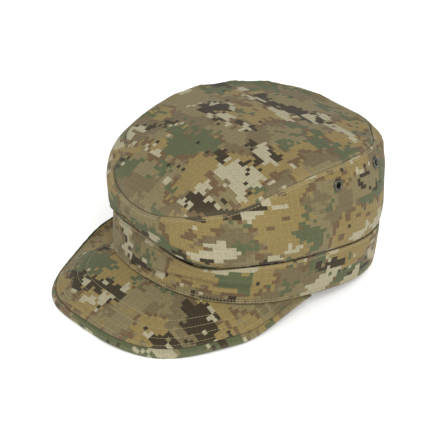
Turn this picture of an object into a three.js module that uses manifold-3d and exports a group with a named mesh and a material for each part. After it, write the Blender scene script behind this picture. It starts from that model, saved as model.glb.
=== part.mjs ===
// A patrol cap in printed ripstop, standing on a table on its band's back hem and its peak's rim.
// Its crown is a top panel sewn to a wall, the wall's foot is tucked inside a doubled band, and a
// stiff peak is sewn under the band's hem. Four rolled eyelets air the crown.
// Sizes are in millimetres and degrees. The peak points to -Y, the wearer's left is +X, up is +Z.
import * as THREE from 'three'
import { mergeVertices } from 'three/addons/utils/BufferGeometryUtils.js'
import Module from 'manifold-3d'

const wasm = await Module()
wasm.setup()

// The band, measured outside, in the plane of its lower hem.
const bandWidth = 173
const bandLength = 203.5
const bandFullness = 2.5
const bandHeight = 36
const bandThickness = 2
// Its upper edge, which leans out at the sides.
const bandTopWidth = 178.5
const bandTopLength = 200.5
const bandTopShift = -0.5
// The dent that the peak pulls into the band's foot: its angle, its spread and how deep it is.
const bandDentAngle = 318
const bandDentSpread = 16
const bandDent = 2.4

// The seam between the crown's wall and its top panel, an oval that slumps towards the front.
const seamWidth = 167.5
const seamLength = 197
const seamShift = -10.7
const seamFullness = 2.47

// The crown.
const crownHeight = 107
const topPeakShift = 6
const topRoundness = 2.2
const wallThickness = 1.4
const topThickness = 1.6
const wallBulge = 5.5
const bulgeFullness = 0.55
const wallFootRise = 4
// How sharply the wall tucks in at the band, and how fast the seam's dents fade down the wall and
// over the top.
const wallTuckSharpness = 12
const wallDentFade = 9
const topDentFade = 3

// The peak, sewn under the band over this angle to each side of the front.
const peakAngle = 87
const peakWidth = 189
const peakReach = 49
const peakLeftFullness = 3
const peakRightFullness = 2.88
const peakEndReach = 0.4
const peakEndSharpness = 5
const peakTaperStart = 0.8
const peakEndTaper = 0.4
const peakFrontDrop = 32
const peakSideDrop = 22.5
// Each side bends down from one share of the way forward to another, and then the front does.
const peakLeftBend = [0.03, 0.5]
const peakRightBend = [0.306, 0.77]
const peakFrontBend = [0.47, 1]
const peakEndDrop = 1
const peakArch = 3
const boardThickness = 3
const underThickness = 1.4
// The rim widens from the peak's right side to its left.
const rimRightWidth = 3.4
const rimLeftWidth = 8.8
const rimWidening = [-0.3, 0.8]
const rimEndShare = 0.9
const rimGap = 0.4
const peakTuck = 1.6
// The part of the board's thickness that its rounded edge takes.
const boardSoftEdge = 0.25

// The eyelets.
const eyeletFlange = 8
const eyeletBore = 3.2
const eyeletWall = 0.6
const eyeletRoll = 1.1
const eyeletSeat = 0.45
const eyeletFrontAngle = 97
const eyeletRearAngle = 123
const eyeletFrontLevel = 0.82
const eyeletRearLevel = 0.86
// The straight stretch of the wall, from one level to another, that holds the eyelets.
const eyeletPatchLow = 0.76
const eyeletPatchHigh = 0.92

// What keeps the pieces apart, and how much of the cloth is pressed flat where the cap rests.
const seamGap = 0.3
const restFlat = 0.4

// How finely the cloth is divided.
const stepsRound = 72
const stepsPeak = 36
const stepsRoll = 6
const eyeletSides = 16
// How much the peak's sections crowd towards its ends, from not at all (0) to fully (1).
const peakCrowding = 0.6
// The shares of the band's height, from its lower hem to its upper edge, and the part of its
// thickness that each soft edge takes.
const bandShares = [0, 0.06, 0.5, 0.95, 1]
const bandSoftEdge = 0.2

// The cap round the head, from the front (0) over the wearer's left: the height of the band's upper
// edge, the seam's height and the wall's bulge, as shares of the band's height, the crown's height
// and the wall's bulge. The crown's weight presses the band down beside the front.
const capRows = [
  { angle: 0, bandTop: 0.91, seamHeight: 0.505, bulge: 1.0 },
  { angle: 30, bandTop: 0.72, seamHeight: 0.583, bulge: 1.1 },
  { angle: 60, bandTop: 0.88, seamHeight: 0.768, bulge: 1.05 },
  { angle: 90, bandTop: 0.95, seamHeight: 0.913, bulge: 0.95 },
  { angle: 120, bandTop: 0.94, seamHeight: 0.965, bulge: 0.9 },
  { angle: 150, bandTop: 0.94, seamHeight: 0.965, bulge: 0.85 },
  { angle: 180, bandTop: 0.95, seamHeight: 0.948, bulge: 0.8 },
  { angle: 210, bandTop: 0.98, seamHeight: 0.957, bulge: 0.85 },
  { angle: 240, bandTop: 0.99, seamHeight: 0.952, bulge: 0.9 },
  { angle: 270, bandTop: 0.98, seamHeight: 0.917, bulge: 0.95 },
  { angle: 300, bandTop: 0.93, seamHeight: 0.763, bulge: 0.95 },
  { angle: 330, bandTop: 0.81, seamHeight: 0.578, bulge: 0.9 },
]

// Dents in the seam: where each lies, how far it spreads, and how far it pulls the seam in and
// lifts it, as shares of the crown's height.
const seamDents = [
  { angle: 315, spread: 7.5, inward: 0.072, lift: 0.02 },
  { angle: 28, spread: 14, inward: -0.004, lift: 0.012 },
  { angle: 53, spread: 11, inward: 0.004, lift: -0.022 },
  { angle: 74, spread: 12, inward: 0, lift: 0.014 },
  { angle: 158, spread: 9, inward: 0.014, lift: -0.008 },
  { angle: 205, spread: 12, inward: 0.012, lift: 0.006 },
]

// Folds in the wall: where each lies round the head and up the wall, how far it spreads both ways,
// and how deep it is, as a share of the wall's bulge. A negative depth is a ridge.
const wallFolds = [
  { angle: 350, level: 0.45, spread: 15, rise: 0.18, depth: 0.3 },
  { angle: 322, level: 0.35, spread: 10, rise: 0.3, depth: 0.3 },
  { angle: 303, level: 0.85, spread: 13, rise: 0.25, depth: -1.1 },
  { angle: 30, level: 0.13, spread: 20, rise: 0.14, depth: -0.9 },
  { angle: 140, level: 0.4, spread: 9, rise: 0.3, depth: 0.2 },
  { angle: 138, level: 0.85, spread: 20, rise: 0.2, depth: -0.55 },
  { angle: 170, level: 0.35, spread: 12, rise: 0.25, depth: 0.25 },
  { angle: 222, level: 0.5, spread: 10, rise: 0.3, depth: 0.25 },
]

// The rolled flange of an eyelet, from its seat over the roll to the bore: how far each point lies in
// from the flange's edge (in) or out from the barrel (out), and its height, as shares of the roll.
const rollRows = [
  { in: 0, height: 0.45 },
  { in: 0.6, height: 1 },
  { out: 0.2, height: 0.85 },
]

// The levels up the wall, from the band's upper edge (0) to the seam (1), closer near its foot.
const wallLevels = [0, 0.05, 0.13, 0.25, 0.4, 0.58, eyeletPatchLow, eyeletPatchHigh, 1]
// The rings of the top panel, from its middle (0) to the seam (1), closer near the seam.
const topRings = [0.2, 0.4, 0.58, 0.73, 0.85, 0.94, 1]
// The stations along the peak, from the band's hem (0) to the rim (1).
const peakStations = [0, 0.3, 0.62, 1]

const radians = THREE.MathUtils.degToRad

// A point of a full oval, at an angle from the front.
function ovalPoint(width, length, shift, fullness, angle) {
  const side = Math.sin(radians(angle))
  const front = Math.cos(radians(angle))
  const sum = Math.abs(side) ** fullness + Math.abs(front) ** fullness
  const stretch = sum ** (-1 / fullness)
  return new THREE.Vector3((width / 2) * side * stretch, shift - (length / 2) * front * stretch, 0)
}

// The level direction that points out of the band at an angle.
function outwardAt(angle) {
  const before = ovalPoint(bandWidth, bandLength, 0, bandFullness, angle - 1)
  const after = ovalPoint(bandWidth, bandLength, 0, bandFullness, angle + 1)
  const along = after.sub(before)
  return new THREE.Vector3(along.y, -along.x, 0).normalize()
}

// The signed angle between two directions round the head.
function turn(angle, from) {
  return THREE.MathUtils.euclideanModulo(angle - from + 180, 360) - 180
}

// How strongly a dent that is centred elsewhere is felt here.
function nearness(offset, spread) {
  return Math.exp(-((offset / spread) ** 2))
}

// A column of the cap's table, read smoothly between its rows.
function capColumn(column, angle) {
  const rows = capRows.length
  const place = (THREE.MathUtils.euclideanModulo(angle, 360) / 360) * rows
  const first = Math.floor(place)
  const along = place - first
  const at = (offset) => capRows[THREE.MathUtils.euclideanModulo(first + offset, rows)][column]
  const slopeIn = (at(1) - at(-1)) / 2
  const slopeOut = (at(2) - at(0)) / 2
  const square = along * along
  const cube = square * along
  return (2 * cube - 3 * square + 1) * at(0) + (cube - 2 * square + along) * slopeIn
    + (3 * square - 2 * cube) * at(1) + (cube - square) * slopeOut
}

// The band's outer face at a share of its height.
function bandPoint(angle, share) {
  const width = THREE.MathUtils.lerp(bandWidth, bandTopWidth, share)
  const length = THREE.MathUtils.lerp(bandLength, bandTopLength, share)
  const point = ovalPoint(width, length, bandTopShift * share, bandFullness, angle)
  const dent = bandDent * nearness(turn(angle, bandDentAngle), bandDentSpread) * (1 - share)
  point.addScaledVector(outwardAt(angle), -dent)
  point.z = bandHeight * capColumn('bandTop', angle) * share
  return point
}

// The seam before it is dented.
function plainSeamPoint(angle) {
  const point = ovalPoint(seamWidth, seamLength, seamShift, seamFullness, angle)
  point.z = crownHeight * capColumn('seamHeight', angle)
  return point
}

// The seam with its dents.
function seamPoint(angle) {
  const point = plainSeamPoint(angle)
  for (const dent of seamDents) {
    const felt = crownHeight * nearness(turn(angle, dent.angle), dent.spread)
    point.addScaledVector(outwardAt(angle), -dent.inward * felt)
    point.z += dent.lift * felt
  }
  return point
}

// The wall's outer face, from inside the band's upper edge up to the seam.
function wallPoint(angle, level) {
  const foot = bandPoint(angle, 1)
  foot.z += seamGap * 2
  const dent = seamPoint(angle).sub(plainSeamPoint(angle)).multiplyScalar(level ** wallDentFade)
  const point = foot.lerp(plainSeamPoint(angle), level).add(dent)
  const tucked = (bandThickness + seamGap) * (1 - level) ** wallTuckSharpness
  const profile = Math.max(Math.sin(Math.PI * level), 0) ** bulgeFullness
  let swell = wallBulge * capColumn('bulge', angle) * profile
  for (const fold of wallFolds) {
    const felt = nearness(turn(angle, fold.angle), fold.spread) * nearness(level - fold.level, fold.rise)
    swell -= wallBulge * fold.depth * felt * Math.sin(Math.PI * level)
  }
  return point.addScaledVector(outwardAt(angle), swell - tucked)
}

// The wall's hidden foot inside the band, at a share of the band's height.
function wallFootPoint(angle, share) {
  return bandPoint(angle, share).addScaledVector(outwardAt(angle), -bandThickness - seamGap)
}

// The top panel's lower face, from its middle out to the seam.
function topPoint(angle, ring) {
  const middle = new THREE.Vector3(0, seamShift + topPeakShift, crownHeight)
  const seam = plainSeamPoint(angle)
  const dent = seamPoint(angle).sub(seam).multiplyScalar(ring ** topDentFade)
  const flatness = ring ** topRoundness
  const point = middle.clone().lerp(seam, ring)
  point.z = THREE.MathUtils.lerp(middle.z, seam.z, flatness)
  return point.add(dent)
}

// The peak's inner edge, tucked under the band's hem, at a share of the way to one side.
function peakInner(share) {
  const angle = share * peakAngle
  const point = bandPoint(angle, 0).addScaledVector(outwardAt(angle), -peakTuck)
  point.z = -seamGap
  return point
}

// The peak's rim. Its half-width grows from the peak's ends to its full width, and each side bends
// down by the same drop over its own stretch of the way forward.
function peakOuter(share) {
  const end = bandPoint(peakAngle, 0)
  const fullness = share > 0 ? peakLeftFullness : peakRightFullness
  const sideBend = share > 0 ? peakLeftBend : peakRightBend
  const turned = share * 90
  const side = Math.abs(Math.sin(radians(turned)))
  const front = Math.cos(radians(turned))
  const stretch = (side ** fullness + Math.abs(front) ** fullness) ** (-1 / fullness)
  const forward = front * stretch
  const endPart = (1 - forward) ** peakEndSharpness
  const halfWidth = (peakWidth / 2) * (1 - endPart) + (end.x + peakEndReach) * endPart
  const reach = bandLength / 2 + peakReach + end.y
  const sideShare = THREE.MathUtils.smoothstep(forward, ...sideBend)
  const sideDrop = THREE.MathUtils.lerp(peakEndDrop, peakSideDrop, sideShare)
  const frontShare = THREE.MathUtils.smoothstep(forward, ...peakFrontBend)
  const drop = THREE.MathUtils.lerp(sideDrop, peakFrontDrop, frontShare)
  return new THREE.Vector3(Math.sign(share) * halfWidth * side * stretch, end.y - reach * forward, -drop)
}

// The peak's upper face between the hem and the rim, bowed up a little.
function peakPoint(share, station) {
  const point = peakInner(share).lerp(peakOuter(share), station)
  point.z += peakArch * 4 * station * (1 - station) * Math.cos(radians(share * 90))
  return point
}

// The direction that points out of the peak's upper face.
function peakNormal(share, station) {
  const small = 0.01
  const across = peakPoint(share + small, station).sub(peakPoint(share - small, station))
  const along = peakPoint(share, station + small).sub(peakPoint(share, station - small))
  return along.cross(across).normalize()
}

// A closed solid through rings of points. Each ring is a loop of as many points. The rings close
// on themselves, or end in two poles, or end in two flat caps.
function solidThrough(rings, ends) {
  const size = rings[0].length
  const positions = rings.flat().flatMap((point) => [point.x, point.y, point.z])
  const indices = []
  const bands = ends === 'closed' ? rings.length : rings.length - 1
  for (let ring = 0; ring < bands; ring += 1) {
    const next = (ring + 1) % rings.length
    for (let place = 0; place < size; place += 1) {
      const beside = (place + 1) % size
      const a = ring * size + place
      const b = ring * size + beside
      const c = next * size + beside
      const d = next * size + place
      indices.push(a, b, c, a, c, d)
    }
  }
  if (ends === 'capped') {
    addCap(indices, size, 0, false)
    addCap(indices, size, (rings.length - 1) * size, true)
  }
  if (ends === 'poles') {
    addPole(positions, indices, rings[0], 0, false)
    addPole(positions, indices, rings[rings.length - 1], (rings.length - 1) * size, true)
  }
  const geometry = new THREE.BufferGeometry()
  geometry.setAttribute('position', new THREE.Float32BufferAttribute(positions, 3))
  geometry.setIndex(indices)
  return outwardFacing(geometry)
}

// A flat cap over a ring whose first half runs out along a section and whose second half runs back.
function addCap(indices, size, start, last) {
  for (let near = 0; near < (size - 1) / 2; near += 1) {
    const a = start + near
    const b = a + 1
    const c = start + size - 2 - near
    const d = c + 1
    const faces = b === c ? [[a, b, d]] : [[a, b, c], [a, c, d]]
    for (const [first, second, third] of faces) {
      if (last) indices.push(first, second, third)
      else indices.push(first, third, second)
    }
  }
}

// The middle point that closes a ring.
function addPole(positions, indices, ring, start, last) {
  const middle = new THREE.Vector3()
  for (const point of ring) middle.addScaledVector(point, 1 / ring.length)
  const pole = positions.length / 3
  positions.push(middle.x, middle.y, middle.z)
  for (let place = 0; place < ring.length; place += 1) {
    const a = start + place
    const b = start + ((place + 1) % ring.length)
    if (last) indices.push(a, b, pole)
    else indices.push(b, a, pole)
  }
}

// The same mesh with its faces turned outwards, told by the sign of its volume.
function outwardFacing(geometry) {
  const position = geometry.getAttribute('position')
  const index = geometry.getIndex()
  const corner = (place) => new THREE.Vector3().fromBufferAttribute(position, index.getX(place))
  let volume = 0
  for (let face = 0; face < index.count; face += 3) {
    volume += corner(face).dot(corner(face + 1).cross(corner(face + 2)))
  }
  if (volume < 0) {
    for (let face = 0; face < index.count; face += 3) {
      const kept = index.getX(face + 1)
      index.setX(face + 1, index.getX(face + 2))
      index.setX(face + 2, kept)
    }
  }
  return geometry
}

// A mesh as a solid that can be joined and cut.
function toSolid(geometry) {
  const bare = geometry.clone()
  bare.deleteAttribute('normal')
  bare.deleteAttribute('uv')
  const merged = mergeVertices(bare, 1e-4)
  return new wasm.Manifold(new wasm.Mesh({
    numProp: 3,
    vertProperties: new Float32Array(merged.getAttribute('position').array),
    triVerts: new Uint32Array(merged.getIndex().array),
  }))
}

// The mesh of a cut solid.
function toGeometry(solid) {
  const mesh = solid.getMesh()
  const geometry = new THREE.BufferGeometry()
  geometry.setAttribute('position', new THREE.Float32BufferAttribute(mesh.vertProperties, 3))
  geometry.setIndex(Array.from(mesh.triVerts))
  return geometry
}

// A solid with a tool cut away.
function cut(geometry, tool) {
  return toGeometry(toSolid(geometry).subtract(toSolid(tool)))
}

// One ring round the head of the points that a function gives.
function ringRound(pointAt) {
  return Array.from({ length: stepsRound }, (_, step) => pointAt((step * 360) / stepsRound))
}

// A point moved level into the cap.
function inside(point, angle, depth) {
  return point.addScaledVector(outwardAt(angle), -depth)
}

// The band: its outer face up, its upper edge over, and its inner face down.
function bandGeometry() {
  const edgeAt = (share) => (share === 0 || share === 1 ? bandThickness * bandSoftEdge : 0)
  const rings = []
  for (const share of bandShares) {
    rings.push(ringRound((angle) => inside(bandPoint(angle, share), angle, edgeAt(share))))
  }
  for (const share of [...bandShares].reverse()) {
    const depth = bandThickness - edgeAt(share)
    rings.push(ringRound((angle) => inside(bandPoint(angle, share), angle, depth)))
  }
  return solidThrough(rings, 'closed')
}

// The wall: its outer face from its foot inside the band up to the seam, and its inner face down.
function wallGeometry() {
  const footShares = [wallFootRise / bandHeight, 0.5, 1]
  const outer = [
    ...footShares.map((share) => (angle) => wallFootPoint(angle, share)),
    ...wallLevels.map((level) => (angle) => wallPoint(angle, level)),
  ]
  const rings = outer.map((pointAt) => ringRound(pointAt))
  for (const pointAt of outer.reverse()) {
    rings.push(ringRound((angle) => inside(pointAt(angle), angle, wallThickness)))
  }
  return solidThrough(rings, 'closed')
}

// The top panel: its upper face out from the middle, its edge on the seam, its lower face back.
function topGeometry() {
  const raised = (pointAt, height) => (angle) => {
    const point = pointAt(angle)
    point.z += height
    return point
  }
  const rings = []
  for (const ring of topRings) {
    rings.push(ringRound(raised((angle) => topPoint(angle, ring), seamGap + topThickness)))
  }
  for (const ring of [...topRings].reverse()) {
    rings.push(ringRound(raised((angle) => topPoint(angle, ring), seamGap)))
  }
  return solidThrough(rings, 'poles')
}

// The shares across the peak, from one end to the other, closer towards the ends.
function peakShares() {
  return Array.from({ length: stepsPeak + 1 }, (_, step) => {
    const even = (2 * step) / stepsPeak - 1
    return THREE.MathUtils.lerp(even, Math.sin((even * Math.PI) / 2), peakCrowding)
  })
}

// A point of the peak's section, at a distance in from the rim and a depth below the upper face.
function peakSectionPoint(share, station, depth) {
  return peakPoint(share, station).addScaledVector(peakNormal(share, station), -depth)
}

// The share of a peak's section that lies inside its rim.
function stationInFromRim(share, distance) {
  return 1 - distance / peakInner(share).distanceTo(peakOuter(share))
}

// The rim's width. At the peak's ends, where the rim runs in under the hem, it takes nearly all
// that is left of the peak.
function rimWidthAt(share) {
  const widening = THREE.MathUtils.smoothstep(share, ...rimWidening)
  const wide = THREE.MathUtils.lerp(rimRightWidth, rimLeftWidth, widening)
  const span = peakInner(share).distanceTo(peakOuter(share))
  return Math.min(wide, span * rimEndShare - rimGap)
}

// How thick the peak is near its ends, as a share of its full thickness.
function taperAt(share) {
  const near = THREE.MathUtils.smoothstep(Math.abs(share), peakTaperStart, 1)
  return THREE.MathUtils.lerp(1, peakEndTaper, near)
}

// The station where the board ends, a little short of the rim's inner edge.
function boardEnd(share) {
  return stationInFromRim(share, rimWidthAt(share) + rimGap)
}

// The stations that both plies share under the board, as far as the board's soft edge.
function boardStations(share) {
  const softEdge = boardThickness * boardSoftEdge * taperAt(share)
  const edge = stationInFromRim(share, rimWidthAt(share) + rimGap + softEdge)
  return peakStations.map((station) => station * Math.max(edge, boardEnd(share) / 2))
}

// The upper ply: cloth and board, as far as the rolled rim.
function peakGeometry() {
  const rings = peakShares().map((share) => {
    const thickness = boardThickness * taperAt(share)
    const last = boardEnd(share)
    const stations = boardStations(share)
    const lower = stations.slice(0, -1).map((station) => peakSectionPoint(share, station, thickness))
    return [
      ...stations.map((station) => peakSectionPoint(share, station, 0)),
      peakSectionPoint(share, last, thickness * boardSoftEdge),
      peakSectionPoint(share, last, thickness),
      ...lower.reverse(),
    ]
  })
  return solidThrough(rings, 'capped')
}

// The lower ply: a sheet under the board, and the rim rolled up round the board's edge.
function peakUnderGeometry() {
  const rings = peakShares().map((share) => {
    const sheetTop = boardThickness * taperAt(share) + seamGap
    const sheetBottom = sheetTop + underThickness * taperAt(share)
    const rimInside = stationInFromRim(share, rimWidthAt(share))
    const rollStart = stationInFromRim(share, sheetBottom / 2)
    const stations = boardStations(share)
    const section = stations.map((station) => peakSectionPoint(share, station, sheetTop))
    section.push(peakSectionPoint(share, rimInside, sheetTop))
    section.push(peakSectionPoint(share, rimInside, 0))
    for (let step = 0; step <= stepsRoll; step += 1) {
      const angle = (Math.PI * step) / stepsRoll
      const station = THREE.MathUtils.lerp(rollStart, 1, Math.sin(angle))
      section.push(peakSectionPoint(share, station, (sheetBottom / 2) * (1 - Math.cos(angle))))
    }
    for (const station of stations.reverse()) {
      section.push(peakSectionPoint(share, station, sheetBottom))
    }
    return section
  })
  return solidThrough(rings, 'capped')
}

// An eyelet: a rolled flange outside, a barrel through the wall and a washer inside, as one spool.
function eyeletGeometry() {
  const bore = eyeletBore / 2
  const barrel = bore + eyeletWall
  const flange = eyeletFlange / 2
  const back = -wallThickness - eyeletSeat
  const roll = rollRows.map((row) => {
    const radius = 'in' in row ? flange - eyeletRoll * row.in : barrel + eyeletRoll * row.out
    return [radius, eyeletSeat + eyeletRoll * row.height]
  })
  const profile = [
    [bore, back - eyeletWall],
    [flange, back - eyeletWall],
    [flange, back],
    [barrel, back],
    [barrel, eyeletSeat],
    [flange, eyeletSeat],
    ...roll,
    [bore, eyeletSeat],
    [bore, back - eyeletWall],
  ].map(([radius, height]) => new THREE.Vector2(radius, height))
  return new THREE.LatheGeometry(profile, eyeletSides)
}

// Where an eyelet sits on the wall, and how it is turned to stand square on it.
function eyeletPlace(angle, level) {
  const smallTurn = 2
  const below = wallPoint(angle, eyeletPatchLow)
  const above = wallPoint(angle, eyeletPatchHigh)
  const share = (level - eyeletPatchLow) / (eyeletPatchHigh - eyeletPatchLow)
  const point = below.clone().lerp(above, share)
  const round = wallPoint(angle + smallTurn, level).sub(wallPoint(angle - smallTurn, level))
  const out = round.cross(above.sub(below)).normalize()
  const turned = new THREE.Quaternion().setFromUnitVectors(new THREE.Vector3(0, 1, 0), out)
  return { point, turned }
}

// The hole that an eyelet's barrel passes through.
function eyeletHole(place) {
  const radius = eyeletBore / 2 + eyeletWall + seamGap
  const hole = new THREE.CylinderGeometry(radius, radius, eyeletFlange, eyeletSides)
  hole.applyQuaternion(place.turned)
  hole.translate(place.point.x, place.point.y, place.point.z)
  return hole
}

// The angle at which the cap leans back when it stands on the band's back hem and the peak's rim.
function restAngle(geometry) {
  const position = geometry.getAttribute('position')
  let steepest = 0
  for (let place = 0; place < position.count; place += 1) {
    const run = bandLength / 2 - position.getY(place)
    steepest = Math.max(steepest, Math.atan2(-position.getZ(place), run))
  }
  return steepest
}

// The table's top, as a block in the cap's own turned frame, that presses the cloth flat.
function tableBlock(standing) {
  const reach = (bandLength + peakReach + peakWidth) * 2
  const block = new THREE.BoxGeometry(reach, reach, bandHeight)
  block.translate(0, 0, -bandHeight / 2)
  block.applyMatrix4(standing.matrix.clone().invert())
  return block
}

const cloth = (colour) => new THREE.MeshStandardMaterial({ color: colour, roughness: 0.9, metalness: 0 })
const topCloth = cloth(0x7f7757)
const wallCloth = cloth(0x867955)
const bandCloth = cloth(0x8b8162)
const peakCloth = cloth(0x7e7254)
const underCloth = cloth(0x6f7053)
const eyeletMetal = new THREE.MeshStandardMaterial({ color: 0x77736a, roughness: 0.4, metalness: 1 })

// A named piece, added to the standing cap.
function addPiece(group, name, geometry, material) {
  const piece = new THREE.Mesh(geometry, material)
  piece.name = name
  group.add(piece)
  return piece
}

// The pieces share one group, leant back and lowered so that the cloth meets the table.
const underPly = peakUnderGeometry()
const standing = new THREE.Group()
const lean = restAngle(underPly)
standing.rotation.x = -lean
standing.position.z = (bandLength / 2) * Math.sin(lean) - restFlat
standing.updateMatrix()
const table = tableBlock(standing)

const eyelets = [
  { name: 'eyelet_left_front', angle: eyeletFrontAngle, level: eyeletFrontLevel },
  { name: 'eyelet_left_rear', angle: eyeletRearAngle, level: eyeletRearLevel },
  { name: 'eyelet_right_front', angle: -eyeletFrontAngle, level: eyeletFrontLevel },
  { name: 'eyelet_right_rear', angle: -eyeletRearAngle, level: eyeletRearLevel },
]
let wall = wallGeometry()
for (const eyelet of eyelets) {
  const place = eyeletPlace(eyelet.angle, eyelet.level)
  wall = cut(wall, eyeletHole(place))
  const piece = addPiece(standing, eyelet.name, eyeletGeometry(), eyeletMetal)
  piece.position.copy(place.point)
  piece.quaternion.copy(place.turned)
}
addPiece(standing, 'crown_wall', wall, wallCloth)
addPiece(standing, 'crown_top', topGeometry(), topCloth)
addPiece(standing, 'band', cut(bandGeometry(), table), bandCloth)
addPiece(standing, 'peak', peakGeometry(), peakCloth)
addPiece(standing, 'peak_under', cut(underPly, table), underCloth)

// The origin lies under the middle of the standing cap, on the table.
const cap = new THREE.Group()
cap.add(standing)
cap.updateMatrixWorld(true)
const bounds = new THREE.Box3().setFromObject(cap, true)
cap.position.set(-(bounds.min.x + bounds.max.x) / 2, -(bounds.min.y + bounds.max.y) / 2, -bounds.min.z)

export default cap
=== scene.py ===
# %% [markdown]
# # A patrol cap in pixel-printed ripstop
#
# The cap lies on a pale table, on the back of its band's hem and on its peak's rim, as a soft cap
# does when it is put down. Its real parts are a top panel, a wall, a doubled band, a two-ply peak
# over a board, and four rolled eyelets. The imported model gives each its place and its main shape.
# This lesson dresses each in cloth or metal of its own.

import math
from functools import partial

import bmesh
import bpy
import numpy as np
from mathutils import Matrix, Vector
from mathutils.kdtree import KDTree


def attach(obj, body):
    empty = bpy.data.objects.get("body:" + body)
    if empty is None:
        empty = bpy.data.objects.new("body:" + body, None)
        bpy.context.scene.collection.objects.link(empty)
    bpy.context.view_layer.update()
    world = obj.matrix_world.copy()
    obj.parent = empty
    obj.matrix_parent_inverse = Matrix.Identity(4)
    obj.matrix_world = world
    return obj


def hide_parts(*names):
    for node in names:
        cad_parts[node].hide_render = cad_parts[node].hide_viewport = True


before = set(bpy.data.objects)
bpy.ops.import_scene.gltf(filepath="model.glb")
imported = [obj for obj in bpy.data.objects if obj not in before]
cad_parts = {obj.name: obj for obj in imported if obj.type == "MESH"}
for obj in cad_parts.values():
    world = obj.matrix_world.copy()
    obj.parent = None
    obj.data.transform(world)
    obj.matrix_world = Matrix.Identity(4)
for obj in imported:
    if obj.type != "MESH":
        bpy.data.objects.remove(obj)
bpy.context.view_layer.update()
print("solids:", sorted(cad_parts))

# %% [markdown]
# ## Camera, table and light
#
# The photograph is taken from the front left, about 30 degrees above the table, with a long lens.
# The table and the surroundings are white, and the light comes from all sides, as in a light tent.
# A white world gives that soft light. A large lamp to the right of the camera adds a direction,
# which shows the folds, and a weaker one stands to its left. The table is frosted acrylic that
# glows a little, as if lit from below, so the shadow round the cap stays pale.

# %% Place the camera
PHOTO_SIDE = 438
FOCAL_PIXELS = 1970.7
SENSOR = 36.0
CAMERA_PLACE = Vector((1.00607, -0.81810, 0.79429))
CAMERA_AIM = Vector((0.00100, -0.00180, 0.04819))
VIEW_DEPTH = 20


def add_object(name, data):
    """An object in the scene that holds some data."""
    made = bpy.data.objects.new(name, data)
    bpy.context.scene.collection.objects.link(made)
    return made


def aimed(place, target):
    """The turn that points a camera or a lamp at a target."""
    return (target - place).to_track_quat("-Z", "Y").to_euler()


camera_data = bpy.data.cameras.new("product_camera")
camera_data.sensor_width = SENSOR
camera_data.lens = SENSOR * FOCAL_PIXELS / PHOTO_SIDE
camera_data.clip_end = VIEW_DEPTH
camera = add_object("product_camera", camera_data)
camera.location = CAMERA_PLACE
camera.rotation_euler = aimed(CAMERA_PLACE, CAMERA_AIM)
bpy.context.scene.camera = camera
bpy.context.scene.view_settings.view_transform = "Standard"
print("lens in mm:", round(camera_data.lens, 1))


# %% Helpers for colours and shader nodes
def linear(colour):
    """An sRGB hex colour as the linear values that a shader takes."""
    values = [int(colour[place:place + 2], 16) / 255 for place in (1, 3, 5)]
    bent = [v / 12.92 if v <= 0.04045 else ((v + 0.055) / 1.055) ** 2.4 for v in values]
    return (*bent, 1.0)


def add_node(tree, kind, inputs=(), operation=None, **settings):
    """A shader node with its settings. Its inputs come by socket or in order. Each is a plain value,
    another node's output, or a whole node, which gives the first of its outputs in use."""
    made = tree.nodes.new("ShaderNode" + kind)
    if operation:
        made.operation = operation
    for name, value in settings.items():
        setattr(made, name, value)
    for socket, value in inputs.items() if isinstance(inputs, dict) else enumerate(inputs):
        if isinstance(value, bpy.types.Node):
            value = next(output for output in value.outputs if output.enabled)
        if isinstance(value, bpy.types.NodeSocket):
            tree.links.new(value, made.inputs[socket])
        else:
            made.inputs[socket].default_value = value
    return made


def new_material(name):
    """An empty material, and `add_node` for its own tree."""
    material = bpy.data.materials.new(name)
    material.use_nodes = True
    material.node_tree.nodes.clear()
    return material, partial(add_node, material.node_tree)


print("mid grey in linear light:", round(linear("#808080")[0], 3))

# %% Lay the table
TABLE_HALF = 4.0
TABLE_DROP = 0.0002

table_paint, node = new_material("frosted_white_acrylic")
paint = node("BsdfPrincipled", {
    "Base Color": linear("#f7f7f5"),
    "Roughness": 0.9,
    "Specular IOR Level": 0.1,
    "Emission Color": (1.0, 1.0, 1.0, 1.0),
    "Emission Strength": 0.3,
})
node("OutputMaterial", {"Surface": paint})


def mesh_from(bm, name):
    """A mesh with a bmesh's shape. The bmesh is then let go."""
    mesh = bpy.data.meshes.new(name)
    bm.to_mesh(mesh)
    bm.free()
    return mesh


bm = bmesh.new()
bmesh.ops.create_grid(bm, x_segments=1, y_segments=1, size=TABLE_HALF)
bmesh.ops.translate(bm, verts=bm.verts, vec=(0, 0, -TABLE_DROP))
table_top = add_object("table_top", mesh_from(bm, "table_top"))
table_top.data.materials.append(table_paint)
print("table's side in metres:", 2 * TABLE_HALF)

# %% Light it
TENT_STRENGTH = 0.74
LAMP_AIM = Vector((0, 0, 0.05))
# The softboxes: place and side in metres, and watts.
SOFTBOXES = {
    "softbox_right_of_camera": ((1.4, -0.5, 1.7), 0.8, 24),
    "softbox_left_of_camera": ((-0.2, -1.6, 1.3), 0.9, 5),
}

world = bpy.data.worlds.new("light_tent")
world.use_nodes = True
world.node_tree.nodes.clear()
tent = add_node(world.node_tree, "Background", {"Color": (1, 1, 1, 1), "Strength": TENT_STRENGTH})
add_node(world.node_tree, "OutputWorld", {"Surface": tent})
bpy.context.scene.world = world

for name, (place, side, watts) in SOFTBOXES.items():
    lamp = bpy.data.lights.new(name, "AREA")
    lamp.shape = "SQUARE"
    lamp.size = side
    lamp.energy = watts
    softbox = add_object(name, lamp)
    softbox.location = place
    softbox.rotation_euler = aimed(Vector(place), LAMP_AIM)
    print(name, "watts:", watts)

# %% [markdown]
# ## The cap's pattern
#
# A cap is cut from flat pieces, but its shape is easier to say as curves round the head, each a
# full oval at some height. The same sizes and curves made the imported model, so cloth that is built
# on them lies where the solids lie. Only the dent at the seam's left rear corner is deeper here.
# Lengths are in millimetres, and an angle runs from the front (0) over the wearer's left.

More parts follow.
